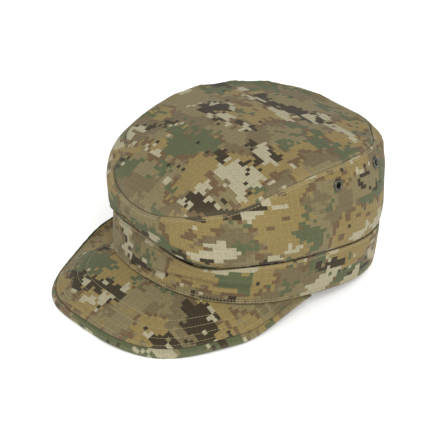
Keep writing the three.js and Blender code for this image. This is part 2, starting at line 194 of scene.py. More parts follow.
# %% Sizes of the band, the crown and the peak
BAND_WIDTH = 173
BAND_LENGTH = 203.5
BAND_FULLNESS = 2.5
BAND_HEIGHT = 36
BAND_THICKNESS = 2
BAND_TOP_WIDTH = 178.5
BAND_TOP_LENGTH = 200.5
BAND_TOP_SHIFT = -0.5
# The dent that the peak pulls into the band's foot.
BAND_DENT_ANGLE = 318
BAND_DENT_SPREAD = 16
BAND_DENT = 2.4

SEAM_WIDTH = 167.5
SEAM_LENGTH = 197
SEAM_SHIFT = -10.7
SEAM_FULLNESS = 2.47
CROWN_HEIGHT = 107
TOP_PEAK_SHIFT = 6
TOP_ROUNDNESS = 2.2
TOP_THICKNESS = 1.6
WALL_THICKNESS = 1.4
WALL_BULGE = 5.5
BULGE_FULLNESS = 0.55
WALL_FOOT = 4
WALL_TUCK_SHARPNESS = 12
WALL_DENT_FADE = 9
TOP_DENT_FADE = 3
GAP = 0.3

PEAK_ANGLE = 87
PEAK_WIDTH = 189
PEAK_REACH = 49
PEAK_LEFT_FULLNESS = 3
PEAK_RIGHT_FULLNESS = 2.88
PEAK_END_REACH = 0.4
PEAK_END_SHARPNESS = 5
PEAK_TAPER_START = 0.8
PEAK_END_TAPER = 0.4
PEAK_TIP_START = 0.95
PEAK_TIP_TAPER = 0.35
PEAK_FRONT_DROP = 32
PEAK_SIDE_DROP = 22.5
PEAK_LEFT_BEND = (0.03, 0.5)
PEAK_RIGHT_BEND = (0.306, 0.77)
PEAK_FRONT_BEND = (0.47, 1)
PEAK_END_DROP = 1
PEAK_ARCH = 3
PEAK_TUCK = 1.6
BOARD_THICKNESS = 3
UNDER_THICKNESS = 1.4
RIM_RIGHT_WIDTH = 3.4
RIM_LEFT_WIDTH = 8.8
RIM_WIDENING = (-0.3, 0.8)
RIM_END_SHARE = 0.9
RIM_GAP = 0.4

# Every 30 degrees round the head, from the front: the heights of the band's upper edge and of the
# seam, and the wall's bulge, as shares of their full sizes.
BAND_TOPS = np.array([0.91, 0.72, 0.88, 0.95, 0.94, 0.94, 0.95, 0.98, 0.99, 0.98, 0.93, 0.81])
SEAM_TOPS = np.array([0.505, 0.583, 0.768, 0.913, 0.965, 0.965, 0.948, 0.957, 0.952, 0.917, 0.763, 0.578])
BULGES = np.array([1.0, 1.1, 1.05, 0.95, 0.9, 0.85, 0.8, 0.85, 0.9, 0.95, 0.95, 0.9])

# Dents in the seam: angle, spread, and how far in and up, as shares of the crown's height.
SEAM_DENTS = [
    (315, 7.5, 0.072, 0.02),
    (28, 14, -0.004, 0.012),
    (53, 11, 0.004, -0.022),
    (74, 12, 0, 0.014),
    (143, 11, 0.036, -0.016),
    (205, 12, 0.012, 0.006),
]

# Folds in the wall: angle, level, spread round, spread up, and depth as a share of the bulge. A
# negative depth is a ridge.
WALL_FOLDS = [
    (350, 0.45, 15, 0.18, 0.3),
    (322, 0.35, 10, 0.3, 0.3),
    (303, 0.85, 13, 0.25, -1.1),
    (30, 0.13, 20, 0.14, -0.9),
    (140, 0.4, 9, 0.3, 0.2),
    (138, 0.85, 20, 0.2, -0.55),
    (170, 0.35, 12, 0.25, 0.25),
    (222, 0.5, 10, 0.3, 0.25),
]
print("dents and folds:", len(SEAM_DENTS), len(WALL_FOLDS))


# %% Helpers for lengths, soft steps and directions
def smoothstep(value, low, high):
    """Rises softly from 0 at `low` to 1 at `high`."""
    share = np.clip((value - low) / (high - low), 0, 1)
    return share * share * (3 - 2 * share)


def blend(start, end, share):
    """The value at a share of the way from `start` to `end`."""
    return start + (end - start) * share


def felt(offset, spread):
    """How strongly a dent or a groove is felt at some offset from its middle."""
    return np.exp(-(offset / spread) ** 2)


def fading(distance, run):
    """What is left of something that fades over a distance."""
    return np.exp(-distance / run)


def points_at(x, y, z):
    """Points from their three coordinates."""
    return np.stack(np.broadcast_arrays(x, y, z), -1).astype(float)


def lifted(points, height):
    """Points raised by a height."""
    return points + points_at(0, 0, height)


def length_of(vectors):
    """The length of each vector."""
    return np.linalg.norm(vectors, axis=-1)


def unit(vectors):
    """The same directions, one long."""
    return vectors / length_of(vectors)[..., None]


def facing_of(surface, first, second, steps):
    """The direction out of a surface at its two coordinates."""
    one = surface(first + steps[0], second) - surface(first - steps[0], second)
    two = surface(first, second + steps[1]) - surface(first, second - steps[1])
    return unit(np.cross(one, two))


# %% Curves round the head
def turned(angle, centre):
    """The signed angle from `centre`, the short way round."""
    return (angle - centre + 180) % 360 - 180


def near(angle, centre, spread):
    """How strongly something at the angle `centre` is felt."""
    return felt(turned(angle, centre), spread)


def oval(width, length, shift, fullness, angle):
    """A point of a full oval, level at height 0."""
    side = np.sin(np.radians(angle))
    front = np.cos(np.radians(angle))
    stretch = (np.abs(side) ** fullness + np.abs(front) ** fullness) ** (-1 / fullness)
    return points_at(width / 2 * side * stretch, shift - length / 2 * front * stretch, 0)


def outward(angle):
    """The level direction out of the band."""
    ahead, behind = (oval(BAND_WIDTH, BAND_LENGTH, 0, BAND_FULLNESS, angle + step) for step in (1, -1))
    along = ahead - behind
    return unit(points_at(along[..., 1], -along[..., 0], 0))


def read_column(column, angle):
    """A column of the cap's table, read smoothly between its rows."""
    place = (angle % 360) / 360 * len(column)
    first = np.floor(place).astype(int)
    along = place - first
    before, here, after, beyond = (column[(first + step) % len(column)] for step in (-1, 0, 1, 2))
    square = along ** 2
    cube = along ** 3
    return ((2 * cube - 3 * square + 1) * here + (cube - 2 * square + along) * (after - before) / 2
            + (3 * square - 2 * cube) * after + (cube - square) * (beyond - here) / 2)


# %% The band, the seam, the wall and the top
TOP_MIDDLE = np.array([0, SEAM_SHIFT + TOP_PEAK_SHIFT, CROWN_HEIGHT])


def band_point(angle, share):
    """The band's outer face at a share of its height."""
    width = blend(BAND_WIDTH, BAND_TOP_WIDTH, share)
    length = blend(BAND_LENGTH, BAND_TOP_LENGTH, share)
    point = oval(width, length, BAND_TOP_SHIFT * share, BAND_FULLNESS, angle)
    dent = BAND_DENT * near(angle, BAND_DENT_ANGLE, BAND_DENT_SPREAD) * (1 - share)
    point = point - outward(angle) * dent[..., None]
    point[..., 2] = BAND_HEIGHT * read_column(BAND_TOPS, angle) * share
    return point


def plain_seam_point(angle):
    """The seam before it is dented."""
    point = oval(SEAM_WIDTH, SEAM_LENGTH, SEAM_SHIFT, SEAM_FULLNESS, angle)
    point[..., 2] = CROWN_HEIGHT * read_column(SEAM_TOPS, angle)
    return point


def seam_dent(angle):
    """How far the dents move the seam."""
    move = 0 * outward(angle)
    for centre, spread, inward, lift in SEAM_DENTS:
        strength = CROWN_HEIGHT * near(angle, centre, spread)
        move = move - outward(angle) * (inward * strength)[..., None]
        move[..., 2] += lift * strength
    return move


def wall_point(angle, level):
    """The wall's outer face, from the band's upper edge (0) to the seam (1)."""
    foot = lifted(band_point(angle, 1), 2 * GAP)
    rise = np.asarray(level)[..., None]
    point = blend(foot, plain_seam_point(angle), rise) + seam_dent(angle) * rise ** WALL_DENT_FADE
    swell = WALL_BULGE * read_column(BULGES, angle) * np.maximum(np.sin(np.pi * level), 0) ** BULGE_FULLNESS
    for centre, middle, spread, rise_spread, depth in WALL_FOLDS:
        strength = near(angle, centre, spread) * felt(level - middle, rise_spread)
        swell = swell - WALL_BULGE * depth * strength * np.sin(np.pi * level)
    tuck = (BAND_THICKNESS + GAP) * (1 - level) ** WALL_TUCK_SHARPNESS
    return point + outward(angle) * (swell - tuck)[..., None]


def top_point(angle, ring):
    """The top panel's lower face, from its middle (0) to the seam (1)."""
    seam = plain_seam_point(angle)
    point = blend(TOP_MIDDLE, seam, ring[..., None])
    point[..., 2] = blend(CROWN_HEIGHT, seam[..., 2], ring ** TOP_ROUNDNESS)
    return point + seam_dent(angle) * ring[..., None] ** TOP_DENT_FADE


print("seam's height in front and behind:", plain_seam_point(np.array([0, 180]))[:, 2].round(1))

# %% The peak
NORMAL_STEP = 0.01


def peak_inner(share):
    """The peak's inner edge under the hem, from the wearer's right (-1) to the left (1)."""
    point = band_point(share * PEAK_ANGLE, 0) - outward(share * PEAK_ANGLE) * PEAK_TUCK
    point[..., 2] = -GAP
    return point


def peak_outer(share):
    """The peak's rim."""
    end = band_point(PEAK_ANGLE, 0)
    side = np.abs(np.sin(np.radians(share * 90)))
    front = np.cos(np.radians(share * 90))
    fullness = np.where(share > 0, PEAK_LEFT_FULLNESS, PEAK_RIGHT_FULLNESS)
    stretch = (side ** fullness + np.abs(front) ** fullness) ** (-1 / fullness)
    forward = front * stretch
    end_part = np.maximum(1 - forward, 0) ** PEAK_END_SHARPNESS
    half_width = PEAK_WIDTH / 2 * (1 - end_part) + (end[0] + PEAK_END_REACH) * end_part
    reach = BAND_LENGTH / 2 + PEAK_REACH + end[1]
    left = smoothstep(forward, *PEAK_LEFT_BEND)
    right = smoothstep(forward, *PEAK_RIGHT_BEND)
    side_drop = blend(PEAK_END_DROP, PEAK_SIDE_DROP, np.where(share > 0, left, right))
    drop = blend(side_drop, PEAK_FRONT_DROP, smoothstep(forward, *PEAK_FRONT_BEND))
    return points_at(np.sign(share) * half_width * side * stretch, end[1] - reach * forward, -drop)


def peak_span(share):
    """How far the rim lies from the inner edge."""
    return length_of(peak_outer(share) - peak_inner(share))


def peak_point(share, station):
    """The peak's upper face, from the hem (0) to the rim (1)."""
    point = blend(peak_inner(share), peak_outer(share), station[..., None])
    arch = PEAK_ARCH * 4 * station * (1 - station) * np.cos(np.radians(share * 90))
    return lifted(point, arch)


def peak_normal(share, station):
    """The direction out of the peak's upper face."""
    return -facing_of(peak_point, share, station, (NORMAL_STEP, NORMAL_STEP))


def peak_taper(share):
    """The peak's thickness as a share of its full thickness: it thins towards its ends."""
    thinned = blend(1, PEAK_END_TAPER, smoothstep(np.abs(share), PEAK_TAPER_START, 1))
    return thinned * blend(1, PEAK_TIP_TAPER, smoothstep(np.abs(share), PEAK_TIP_START, 1))


def station_in_from_rim(share, distance):
    """The station that lies a distance inside the rim."""
    return 1 - distance / peak_span(share)


def rim_width(share):
    """The rim's width. At the peak's ends it takes nearly all that is left of the peak."""
    wide = blend(RIM_RIGHT_WIDTH, RIM_LEFT_WIDTH, smoothstep(share, *RIM_WIDENING))
    return np.minimum(wide, peak_span(share) * RIM_END_SHARE - RIM_GAP)


print("the peak's slope in front in mm:", peak_span(0).round(1))

# %% [markdown]
# ## Standing the cap on the table
#
# The pattern is level along the band's hem. The real cap leans back until the hem's back and the
# peak's rim both touch the table. One matrix does that for every piece: it turns the cap, lifts it
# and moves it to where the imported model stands, in metres. Cloth that would sink into the table is
# pressed flat on it.

# %% Stand the pieces
MM = 0.001
LEAN = math.radians(8.164417)
REST_FLAT = 0.4
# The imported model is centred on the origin, which moves the cap back by this.
PACK_SHIFT = 23.0992
lift = BAND_LENGTH / 2 * math.sin(LEAN) - REST_FLAT
STAND = (Matrix.Translation((0, PACK_SHIFT * MM, lift * MM)) @ Matrix.Rotation(-LEAN, 4, "X")
         @ Matrix.Scale(MM, 4))


def finish_piece(bm, name, material, replaced):
    """Stands a piece on the table and gives it its material and its place in the model."""
    bmesh.ops.transform(bm, matrix=STAND, verts=bm.verts)
    for vert in bm.verts:
        vert.co.z = max(vert.co.z, 0)
    for face in bm.faces:
        face.smooth = True
    mesh = mesh_from(bm, name)
    mesh.materials.append(material)
    piece = add_object(name, mesh)
    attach(piece, "root")
    if replaced:
        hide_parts(replaced)
    print(name, "triangles:", sum(len(polygon.vertices) - 2 for polygon in mesh.polygons))
    return piece


print("lift in mm:", round(lift, 2))

# %% [markdown]
# ## Sewn shells
#
# Each cloth piece is a closed shell: its outer face, a soft folded edge, and its inner face. It
# could be a sheet with a Solidify modifier, but sewn edges are rounder than a cut sheet's. So a flat
# grid is bent along the whole section, round the edge and back, and the edges that meet are merged.
# Its rows and columns also give the cloth laid out flat, which the print and the weave follow.

# %% A grid bent into a shell
MERGE_DISTANCE = 1e-4


def sewn_shell(points, flat, tones):
    """A grid bent onto `points`, in rows and columns. `flat` is the cloth laid out, in mm, and
    `tones` are named values painted on its corners."""
    rows, columns = points.shape[0] - 1, points.shape[1] - 1
    bm = bmesh.new()
    bmesh.ops.create_grid(bm, x_segments=columns, y_segments=rows, size=0.5)
    bm.verts.index_update()
    places = [(round((v.co.y + 0.5) * rows), round((v.co.x + 0.5) * columns)) for v in bm.verts]
    layers = {bm.verts.layers.float.new(tone): np.broadcast_to(values, points.shape[:2])
              for tone, values in tones.items()}
    cloth = bm.loops.layers.uv.new("cloth")
    for vert, place in zip(bm.verts, places):
        vert.co = points[place]
        for layer, values in layers.items():
            vert[layer] = float(values[place])
    for face in bm.faces:
        for loop in face.loops:
            loop[cloth].uv = flat[places[loop.vert.index]] * MM
    bmesh.ops.remove_doubles(bm, verts=bm.verts, dist=MERGE_DISTANCE)
    open_edges = [edge for edge in bm.edges if edge.is_boundary]
    if open_edges:
        bmesh.ops.holes_fill(bm, edges=open_edges, sides=0)
    bmesh.ops.recalc_face_normals(bm, faces=bm.faces)
    return bm


def run_length(points):
    """The running length down the rows of a grid of points."""
    steps = length_of(np.diff(points, axis=0))
    return np.concatenate([0 * steps[:1], np.cumsum(steps, axis=0)])


def on_rows(points, first, last):
    """One on the rows of a grid from `first` to just before `last`, and nought on the others."""
    row = np.arange(len(points))[:, None]
    return (row >= first) & (row < last)


# %% [markdown]
# ## Waves in the cloth
#
# Cloth that is sewn or pressed never lies quite even. Stitching gathers it into small puckers along
# a seam, and handling leaves long soft waves. A cloth simulation would give both, but not where the
# photograph shows them. So both are sums of a few sine waves, which are easy to place and to scale.
# Each is multiplied by its height in millimetres, and its last number is the seed that draws it. A
# piece that closes round the head takes whole numbers of waves, so that its ends meet.

# %% Puckers and long waves
RIPPLE_PARTS = 6
HANDLED_PARTS = 9


def ripple(angle, waves, seed):
    """An uneven wave round the head, about one high, with about `waves` crests."""
    draw = np.random.default_rng(seed)
    total = 0 * angle
    for _ in range(RIPPLE_PARTS):
        count = round(waves * draw.uniform(0.6, 1.5))
        total = total + np.sin(count * np.radians(angle) + draw.uniform(0, 2 * np.pi))
    return total / RIPPLE_PARTS ** 0.5


def handled(angle, level, seed):
    """Long soft waves over a face, about one high."""
    draw = np.random.default_rng(seed)
    total = 0 * angle * level
    for _ in range(HANDLED_PARTS):
        count = draw.integers(3, 12)
        rise = draw.uniform(-1.6, 1.6)
        start = draw.uniform(0, 2 * np.pi)
        total = total + np.sin(count * np.radians(angle) + 2 * np.pi * rise * level + start)
    return total / HANDLED_PARTS ** 0.5


# %% [markdown]
# ## Printed ripstop
#
# The cloth is a cotton blend ripstop: a plain weave in which a thicker thread every few millimetres
# makes a fine grid. A camouflage of small squares is printed on it. The design here is a generic
# one: taupe ground, ochre and green fields, dark brown patches with beige squares beside them, and
# brown marks along the borders. An image could hold it, but noise that is read once for each square
# gives fields with stepped edges, sharp from any distance, and each piece can be cut from another
# part of them. The squares measure about 3.1 mm, and follow the cloth through its own UV map.

# %% The print's colours, fields and layers
SQUARE = 3.1
# How far the squares' edges waver, in squares, and how often in each square.
SQUARE_BLUR = 0.32
BLUR_SCALE = 3.1
# How near its limit the ochre field has its border marks.
BORDER = 0.02

TAUPE = "#7a6f4f"
DARK_TAUPE = "#6c6045"
OCHRE = "#857449"
GREEN = "#565b3f"
BROWN = "#66533a"
DARK_BROWN = "#3a3223"
BEIGE = "#a0997e"

# The fields of noise: the size of their blobs in squares, where they are read, how they are
# stretched, their detail, and how far chance scatters them.
FIELDS = {
    "ground": (11, (5, 91, 33), (1, 1, 1), 3, 0.05),
    "ochre": (15, (11, 5, 3), (1, 1, 1), 4, 0.11),
    "green": (12, (61, 27, 9), (0.8, 1.1, 1), 4, 0.12),
    "beige": (11, (83, 19, 27), (0.75, 1.2, 1), 3, 0.07),
    "dark": (13, (23, 71, 15), (0.7, 1.2, 1), 3, 0.08),
    "small beige": (3.4, (37, 45, 21), (0.75, 1.1, 1), 0, 0.07),
    "gate": (4, (51, 13, 39), (1, 1, 1), 1, 0),
}
# The layers over the taupe ground: each shows where its one or two fields are over their limits.
# None stands for the piece's own limit.
LAYERS = [
    (DARK_TAUPE, {"ground": 0.51}),
    (OCHRE, {"ochre": None}),
    (BROWN, {"border": 0.5, "gate": 0.46}),
    (BROWN, {"ochre": None, "pair": 0.93}),
    (GREEN, {"green": None}),
    (BEIGE, {"beige": None}),
    (DARK_BROWN, {"dark": 0.605}),
    (BEIGE, {"dark": 0.565, "small beige": 0.63}),
    (DARK_BROWN, {"lone": 0.994, "ochre": 0.47}),
]
print("the print's layers:", 1 + len(LAYERS))


# %% Print the camouflage
def camouflage(node, cloth, shift, limits):
    """The generic print's colour on flat cloth, in millimetres."""
    place = node("VectorMath", (cloth, (1 / SQUARE,) * 3, shift), "MULTIPLY_ADD")
    blur = node("TexNoise", {"Vector": place, "Scale": BLUR_SCALE, "Detail": 1.0})
    centred = node("VectorMath", (blur.outputs["Color"], (0.5,) * 3), "SUBTRACT")
    blurred = node("VectorMath", (centred, (SQUARE_BLUR, SQUARE_BLUR, 0), place), "MULTIPLY_ADD")
    halved = node("VectorMath", (blurred, (0.5, 1, 1)), "MULTIPLY")

    # Chance throws one number for each square, and one for each pair of squares side by side.
    squares, pairs = (node("VectorMath", (cells,), "FLOOR") for cells in (blurred, halved))
    chance, pair = (node("TexWhiteNoise", (cells,), noise_dimensions="3D") for cells in (squares, pairs))
    both = node("Math", (chance, pair), "ADD")
    scatter = node("Math", (both, 0.5, -0.5), "MULTIPLY_ADD")
    lone = node("SeparateColor", (chance.outputs["Color"],))

    fields = {"pair": pair, "lone": lone}
    for name, (size, offset, stretch, detail, share) in FIELDS.items():
        read = node("VectorMath", (squares, stretch, offset), "MULTIPLY_ADD")
        noise = node("TexNoise", {"Vector": read, "Scale": 1 / size, "Detail": detail, "Roughness": 0.5})
        fields[name] = node("Math", (scatter, share, noise), "MULTIPLY_ADD")
        if name == "ochre":
            fields["border"] = node("Math", (noise, limits[name], BORDER), "COMPARE")

    # Sockets 6 and 7 of a Mix node are its two colours. A mask times itself stays the same.
    colour = linear(TAUPE)
    for tint, needed in LAYERS:
        masks = [node("Math", (fields[name], limit or limits[name]), "GREATER_THAN")
                 for name, limit in needed.items()]
        mask = node("Math", (masks[0], masks[-1]), "MULTIPLY")
        colour = node("Mix", {0: mask, 6: colour, 7: linear(tint)}, data_type="RGBA")
    return colour


# %% Weave the ripstop under the print
RIPSTOP_STEP = 5.2
RIPSTOP_THREAD = 0.34
# The weave's real threads are finer than a pixel, so they are drawn at twice their size.
WEAVE_STEP = 0.9
# Slubs, thicker lengths of yarn, are about 2 mm long. The dye is uneven over about 29 mm.
SLUB_SCALE = 1.25
SLUB_STRETCHES = ((0.4, 1.5, 1), (1.5, 0.4, 1))
DYE_SCALE = 0.035
WEAVE_HEIGHT = 0.00012

# Where each piece is cut from the print, and its limits of ochre, green and beige.
CUTS = {
    "top": ((803, 140, 1), 0.55, 0.56, 0.645),
    "wall": ((70, 12, 4), 0.46, 0.59, 0.645),
    "band": ((140, 33, 7), 0.48, 0.6, 0.62),
    "peak": ((435, 280, 10), 0.49, 0.66, 0.645),
    "under": ((90, 110, 13), 0.55, 0.47, 0.645),
}


def printed_ripstop(name, shift, ochre, green, beige):
    """Printed ripstop cloth: matt, a little fuzzy, its reverse side paler than its face."""
    material, node = new_material(name)
    flat = node("UVMap", uv_map="cloth")
    cloth = node("VectorMath", {0: flat, "Scale": 1 / MM}, "SCALE")
    colour = camouflage(node, cloth, shift, {"ochre": ochre, "green": green, "beige": beige})

    # Both ways of the weave have slubs, thick ripstop threads, and threads that go up and down.
    slubs, thick, waves = [], [], []
    axes = node("SeparateXYZ", (cloth,))
    for axis, stretch in zip(axes.outputs, SLUB_STRETCHES):
        place = node("VectorMath", (cloth, stretch), "MULTIPLY")
        slubs.append(node("TexNoise", {
            "Vector": place, "Scale": SLUB_SCALE, "Detail": 2.0, "Roughness": 0.6}))
        beside = node("Math", (axis, RIPSTOP_STEP / 2), "PINGPONG")
        thick.append(node("MapRange", {
            "Value": beside, "From Max": RIPSTOP_THREAD, "To Min": 1.0, "To Max": 0.0},
            interpolation_type="SMOOTHSTEP"))
        turn = node("Math", (axis, 2 * math.pi / WEAVE_STEP), "MULTIPLY")
        waves.append(node("Math", (turn,), "SINE"))
    yarn, ripstop, weave = (node("Math", both_ways, operation) for both_ways, operation in (
        (slubs, "ADD"), (thick, "MAXIMUM"), (waves, "MULTIPLY")))
    dye = node("TexNoise", {"Vector": cloth, "Scale": DYE_SCALE, "Detail": 2.0})

    tone = 0.04
    for part, share in ((yarn, 0.8), (dye, 0.16), (ripstop, 0.2)):
        tone = node("Math", (part, share, tone), "MULTIPLY_ADD")
    colour = node("VectorMath", {0: colour, "Scale": tone}, "SCALE")

    # The reverse is paler, worn edges are lighter where the yarn stands up, and painted shade darkens the
    # seam's groove.
    rub = node("Math", (yarn, 0.07), "MULTIPLY")
    for painted, share, tint in (
            ("inside", 0.45, "#a89d80"), ("worn", rub, "#c3bb9f"), ("painted_groove_shade", 1.0, "#2b261c")):
        value = node("Attribute", attribute_name=painted).outputs["Fac"]
        mask = node("Math", (value, share), "MULTIPLY")
        colour = node("Mix", {0: mask, 6: colour, 7: linear(tint)}, data_type="RGBA")

    height = yarn
    for part, share in ((weave, 0.3), (ripstop, 0.8)):
        height = node("Math", (part, share, height), "MULTIPLY_ADD")
    bump = node("Bump", {"Height": height, "Distance": WEAVE_HEIGHT, "Strength": 0.6})
    surface = node("BsdfPrincipled", {
        "Base Color": colour,
        "Roughness": 0.88,
        "Specular IOR Level": 0.16,
        "Sheen Weight": 0.08,
        "Sheen Roughness": 0.5,
        "Normal": bump,
    })
    node("OutputMaterial", {"Surface": surface})
    return material


ripstops = {piece: printed_ripstop("printed_ripstop_" + piece, *cut) for piece, cut in CUTS.items()}
print("cloth for:", *ripstops)

# %% [markdown]
# ## The top panel
#
# The top is one oval panel. Its edge is sewn to the wall's upper edge, turned under and stitched
# down, so the panel dips into a narrow groove all round. The groove is deeper on the far side, where
# the crown slumps, and shade is painted into it there as a dark line. The panel is a round grid: its
# columns run round the head, and its rows run from the middle out to the groove, over the edge, and
# back inside.

# %% Shape the top panel
COLUMNS = 600
SEAM_ZONE = 9
GROOVE_INSET = 1.15
GROOVE_DEPTH = 1.1
INNER_GROOVE_DEPTH = 1.9
# Where the groove is deeper: angle, spread, and how much.
GROOVE_HOLLOWS = [(302, 34, 1.6), (350, 30, 0.5)]
angles = np.linspace(180, 540, COLUMNS + 1)


def top_span(angle):
    """The level distance from the top's middle to its seam."""
    return length_of((plain_seam_point(angle) - TOP_MIDDLE)[..., :2])


def top_cloth(angle, ring):
    """The top panel's upper face, dipped and puckered along its seam."""
    inset = (1 - ring) * top_span(angle)
    depth = GROOVE_DEPTH + sum(more * near(angle, centre, spread) for centre, spread, more in GROOVE_HOLLOWS)
    dip = depth * fading(np.maximum(inset - GROOVE_INSET, 0), 0.8)
    puckers = 0.22 * ripple(angle, 90, 3) * fading(inset, 8) * smoothstep(inset, 1.5, 4)
    waves = 0.6 * handled(angle, ring, 5) * ring ** 2 * smoothstep(inset, 2, 14)
    far_side = 1 - near(angle, 60, 75)
    puff = (0.4 + 0.6 * far_side + (0.4 + 0.5 * far_side) * ripple(angle, 17, 7)) * felt(inset - 6, 4)
    return lifted(top_point(angle, ring), GAP + TOP_THICKNESS - dip + puckers + waves + puff)


def spaced_to_seam(span, steps, near_steps, last, first=0.0):
    """Shares of a span from `first` on, closer in the zone beside the seam, down to `last`."""
    far = blend(first / span, 1 - SEAM_ZONE / span, np.linspace(0, 1, steps)[:, None])
    close = 1 - np.linspace(SEAM_ZONE, last, near_steps + 1)[1:, None] / span
    return np.concatenate([far, close])


span = top_span(angles)
rings = spaced_to_seam(span, 46, 16, GROOVE_INSET)
inner_rings = spaced_to_seam(span, 14, 4, GROOVE_INSET)[::-1]
from_groove = (1 - np.concatenate([rings, inner_rings])) * span - GROOVE_INSET
inner_dip = INNER_GROOVE_DEPTH * fading(from_groove[len(rings):], 1.6)
top_points = np.concatenate([
    top_cloth(angles, rings), lifted(top_point(angles, inner_rings), GAP - inner_dip)])
spoke = unit((plain_seam_point(angles) - TOP_MIDDLE)[..., :2])
outside = on_rows(top_points, 0, len(rings))
# Painted shade in the seam's groove: a dark line, strongest on the far side.
painted_groove_shade = 0.05 + 0.8 * near(angles, 298, 32)
bm = sewn_shell(top_points, run_length(top_points)[..., None] * spoke, {
    "inside": ~outside,
    "worn": outside * fading(from_groove, 2.5),
    "painted_groove_shade": outside * painted_groove_shade * fading(from_groove, 0.7),
})
finish_piece(bm, "crown_top_cloth", ripstops["top"], "crown_top")

# %% [markdown]
# ## The eyelets' places
#
# Two eyelets on each side air the crown. Each sits square on the wall, on a small flat that its
# flange presses into the cloth. The places come first, because the wall is pressed flat there and
# cut through.

# %% Find the eyelets' places
EYELET_PATCH = (0.76, 0.92)
EYELETS = {
    "eyelet_left_front": (97, 0.82),
    "eyelet_left_rear": (123, 0.86),
    "eyelet_right_front": (-97, 0.82),
    "eyelet_right_rear": (-123, 0.86),
}


def eyelet_place(angle, level):
    """An eyelet's middle on the wall, and the direction that it faces."""
    below, above = (wall_point(angle, edge) for edge in EYELET_PATCH)
    share = (level - EYELET_PATCH[0]) / (EYELET_PATCH[1] - EYELET_PATCH[0])
    around = wall_point(angle + 2, level) - wall_point(angle - 2, level)
    return blend(below, above, share), unit(np.cross(around, above - below))


eyelet_places = {name: eyelet_place(*place) for name, place in EYELETS.items()}
print("eyelets above the hem in mm:", [middle[2].round(1) for middle, facing in eyelet_places.values()])

# %% [markdown]
# ## The wall
#
# The wall is a tall strip between the band and the top. Its foot is tucked inside the band. Its
# upper edge is folded over and topstitched with one row, which leaves a small roll along the seam.
# The slump pinches its foot in front into a pleat, and rounds its left rear corner. The grid closes
# at the centre back, where a real wall is joined, and a shallow groove marks the join.

# %% Shape the wall's face
SEAM_ROWS = (1.05,)
JOIN_ANGLE = 180
JOIN_WIDTH = 0.45
# The cloth in each degree, where the wall lies about 95 mm from the head's middle.
MM_PER_DEGREE = math.radians(95)
EYELET_FLAT = (4.9, 9.5)
# The pleat at the wall's foot, through angles and heights above the band.
WALL_PLEAT = [(333, 4.5), (338, 6), (345, 8.8), (349.5, 8.9), (354, 7), (358, 6.2), (1, 3.6), (5, 2.5)]
# Soft forms of the slump: angle, spread, height above the foot, its spread, and how far out.
FOOT_FORMS = [(4, 24, 2.5, 3.5, -1.1), (4, 24, 1, 0.5, -1.3), (347, 10, 4.5, 2.2, 0.9)]
# The same for the rounded corner, measured down from the seam.
SEAM_FORMS = [(150, 16, 6, 5, 3.6)]


def from_crease(angle, height, line):
    """How far points lie from a crease that runs through angles and heights, in mm."""
    nearest = np.inf
    for (start, low), (end, high) in zip(line, line[1:]):
        across = turned(angle, start) * MM_PER_DEGREE
        width = turned(end, start) * MM_PER_DEGREE
        rise = high - low
        share = np.clip((across * width + (height - low) * rise) / (width ** 2 + rise ** 2), 0, 1)
        nearest = np.minimum(nearest, np.hypot(across - share * width, height - low - share * rise))
    return nearest


def grooved(distance, rows, depth, width):
    """How far rows of stitches press the cloth in."""
    return sum(depth * felt(distance - row, width) for row in rows)


def formed(angle, distance, forms):
    """How far soft forms move the cloth out."""
    return sum(far * near(angle, centre, spread) * felt(distance - middle, reach)
               for centre, spread, middle, reach, far in forms)


def wall_height(angle):
    """The wall's height along its slope."""
    return length_of(plain_seam_point(angle) - band_point(angle, 1))


def wall_cloth(angle, level):
    """The wall's outer face with its puckers, waves, stitch grooves and eyelet flats."""
    inset = (1 - level) * wall_height(angle)
    above = level * wall_height(angle)
    puckers = 0.2 * ripple(angle, 110, 11) * fading(np.maximum(inset - 3, 0), 6) * smoothstep(inset, 0, 3)
    waves = 0.6 * handled(angle, level, 13) * np.sin(np.pi * np.clip(level, 0, 1))
    grooves = grooved(inset, SEAM_ROWS, 0.3, 0.65)
    allowance = 0.3 * (1 - smoothstep(inset, 6, 8.5)) * smoothstep(inset, -0.5, 1)
    join = 0.7 * near(angle, JOIN_ANGLE, JOIN_WIDTH)
    forms = formed(angle, above, FOOT_FORMS) + formed(angle, inset, SEAM_FORMS)
    from_pleat = from_crease(angle, above, WALL_PLEAT)
    pleat = 0.8 * felt(from_pleat - 2.2, 1.4) - 2.2 * felt(from_pleat, 0.8)
    gathers = 0.3 * ripple(angle, 58, 43) * near(angle, 128, 24) * felt(inset - 6, 12)
    move = puckers + waves - grooves + allowance - join + forms + pleat + gathers
    point = wall_point(angle, level) + outward(angle) * move[..., None]
    for middle, facing in eyelet_places.values():
        pressed = 1 - smoothstep(length_of(point - middle), *EYELET_FLAT)
        point = point + facing * (((middle - point) @ facing) * pressed)[..., None]
    return point


height = wall_height(angles)
print("the wall's height in mm:", height.min().round(1), height.max().round(1))

# %% Sew the wall's shell
SEAM_ROLL = 0.5
SEAM_RISE = 0.95
FOOT_ZONE = 4
WALL_WORN = 4


def folded(start, radius, rise, turn):
    """A soft fold of some radius and rise, from an outer face over to the inner one."""
    inward = (radius * (1 - np.cos(turn)))[..., None] * outward(angles)
    return lifted(start - inward, rise * np.sin(turn))


def flat_strip(points):
    """A strip round the head laid out flat: its run along the band, and along each section."""
    band_run = run_length(band_point(angles, 1))
    return np.stack(np.broadcast_arrays(band_run, run_length(points)), -1)


